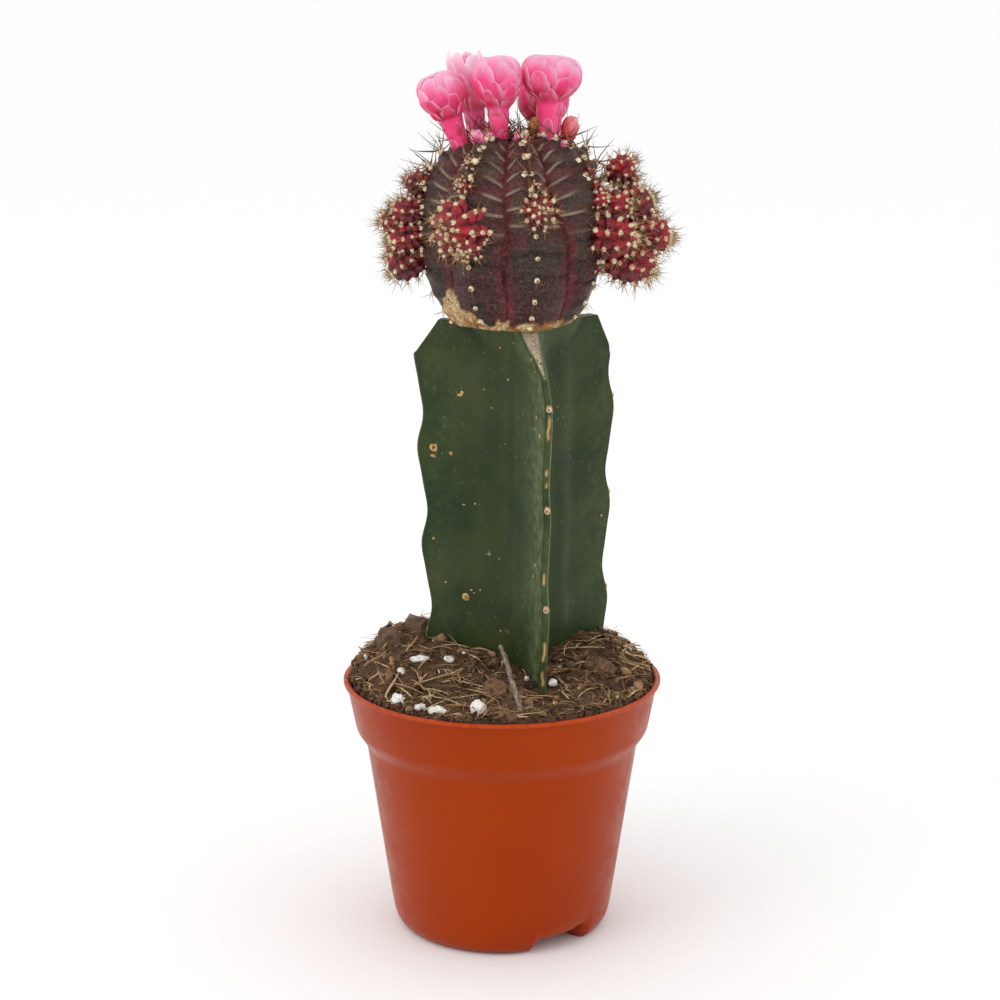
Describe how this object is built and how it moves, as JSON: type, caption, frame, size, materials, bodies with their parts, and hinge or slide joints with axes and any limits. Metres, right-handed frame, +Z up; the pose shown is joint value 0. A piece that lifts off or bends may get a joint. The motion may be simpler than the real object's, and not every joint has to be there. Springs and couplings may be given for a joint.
{
  "type": "potted moon cactus",
  "caption": "Grafted cactus in a nursery pot: a green winged stem carries a ribbed purple globe with crimson offsets and closed pink flowers.",
  "frame": {"origin": "on the pot's axis, in the plane that the pot stands on", "axes": "+Z up along the pot's axis; -Y is the front, towards the stem's front wing; +X to the right"},
  "size_m": [0.085, 0.085, 0.2341],
  "materials": {
    "terracotta_plastic": "satin moulded plastic",
    "peat": "loose fibrous peat",
    "bark": "rough bark and clods",
    "perlite": "rough white grains",
    "green_skin": "waxy green skin",
    "purple_skin": "brown-purple skin",
    "crimson_skin": "glossy crimson skin",
    "petal": "satin pink petals",
    "dry_petal": "dry and papery"
  },
  "bodies": {
    "root": {"bark_back": "bark", "bark_left": "bark", "bud_back": "petal", "bud_centre": "petal", "bud_left_inner": "petal", "bud_left_outer": "petal", "bud_right": "petal", "clod_front": "bark", "clod_right": "bark", "dried_bud": "dry_petal", "flower_back_left": "petal", "flower_back_right": "petal", "flower_centre": "petal", "flower_left": "petal", "flower_right": "petal", "offset_back_high": "crimson_skin", "offset_back_left": "crimson_skin", "offset_back_low": "crimson_skin", "offset_back_right": "crimson_skin", "offset_front": "crimson_skin", "offset_front_bud": "crimson_skin", "offset_front_left": "crimson_skin", "offset_left_low": "crimson_skin", "offset_left_middle": "crimson_skin", "offset_left_tiny": "crimson_skin", "offset_left_top": "crimson_skin", "offset_rib_lower": "crimson_skin", "offset_rib_upper": "crimson_skin", "offset_right_inner": "crimson_skin", "offset_right_large": "crimson_skin", "offset_right_low": "crimson_skin", "offset_right_small": "crimson_skin", "offset_right_top": "crimson_skin", "pebble_right": "bark", "perlite_1": "perlite", "perlite_2": "perlite", "perlite_3": "perlite", "perlite_4": "perlite", "perlite_5": "perlite", "perlite_6": "perlite", "perlite_7": "perlite", "perlite_8": "perlite", "pot": "terracotta_plastic", "rootstock": "green_skin", "scion": "purple_skin", "small_flower": "petal", "soil": "peat", "twig": "bark"}
  },
  "joints": []
}
